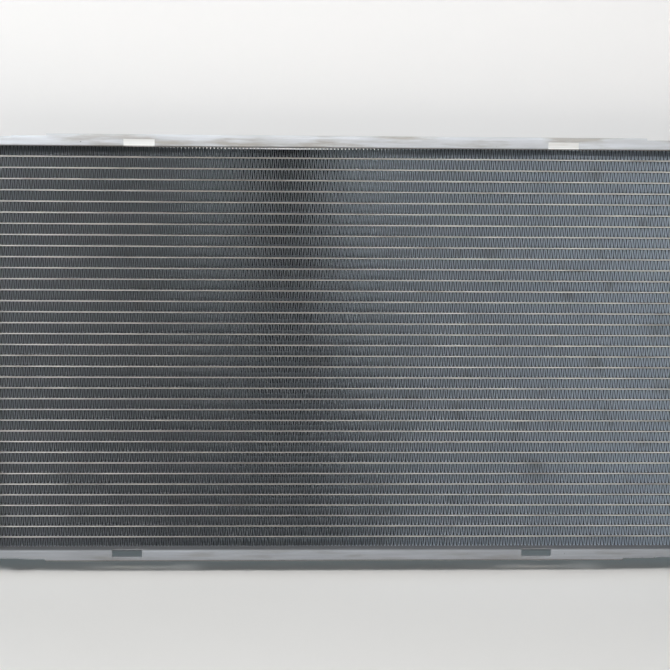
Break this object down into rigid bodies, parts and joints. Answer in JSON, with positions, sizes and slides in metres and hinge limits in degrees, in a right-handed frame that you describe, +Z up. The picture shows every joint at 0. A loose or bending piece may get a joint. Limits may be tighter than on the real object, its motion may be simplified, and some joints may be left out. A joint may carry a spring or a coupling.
{
  "type": "car radiator",
  "caption": "Cross-flow car radiator: brazed core of flat tubes and corrugated fins, slotted side plates, header plates and crimped plastic end tanks with hose necks and a drain tap.",
  "frame": {"origin": "middle of the base of the whole radiator, at the underside of the lower rubber bushes", "axes": "+Z up, +X along the tubes towards the inlet tank, -Y towards the face that the air enters"},
  "size_m": [0.8058, 0.085, 0.4436],
  "materials": {
    "tube": "brazed, dull, with a thin tan flux film",
    "fin": "thin rolled fin sheet, dull",
    "side_plate": "rolled sheet, dull, with flux stains and scratches",
    "header": "pressed sheet, brazed, dull",
    "tank": "moulded, fine grain",
    "tap": "moulded, smooth",
    "bush": "moulded, matt",
    "seal": "moulded, matt"
  },
  "bodies": {
    "radiator": {"core_row_01": "tube", "core_row_02": "tube", "core_row_03": "tube", "core_row_04": "tube", "core_row_05": "tube", "core_row_06": "tube", "core_row_07": "tube", "core_row_08": "tube", "core_row_09": "tube", "core_row_10": "tube", "core_row_11": "tube", "core_row_12": "tube", "core_row_13": "tube", "core_row_14": "tube", "core_row_15": "tube", "core_row_16": "tube", "core_row_17": "tube", "core_row_18": "tube", "core_row_19": "tube", "core_row_20": "tube", "core_row_21": "tube", "core_row_22": "tube", "core_row_23": "tube", "core_row_24": "tube", "core_row_25": "tube", "core_row_26": "tube", "core_row_27": "tube", "core_row_28": "tube", "core_row_29": "tube", "core_row_30": "tube", "core_row_31": "tube", "core_row_32": "tube", "core_row_33": "tube", "core_row_34": "tube", "core_row_35": "tube", "core_row_36": "tube", "core_fin_bottom": "fin", "side_plate_upper": "side_plate", "side_plate_lower": "side_plate", "header_plate_inlet": "header", "tank_gasket_inlet": "seal", "tank_inlet": "tank", "bush_inlet_upper": "bush", "bush_inlet_lower": "bush", "header_plate_outlet": "header", "tank_gasket_outlet": "seal", "tank_outlet": "tank", "bush_outlet_upper": "bush", "bush_outlet_lower": "bush"},
    "drain_tap": {"drain_tap": "tap", "drain_tap_seal": "seal"}
  },
  "joints": [
    {"name": "drain_tap_turn", "type": "hinge", "parent": "radiator", "child": "drain_tap", "pos_m": [-0.3765, 0.0086, 0.0438], "axis": [0, 1, 0], "range_deg": [0, 90]}
  ]
}
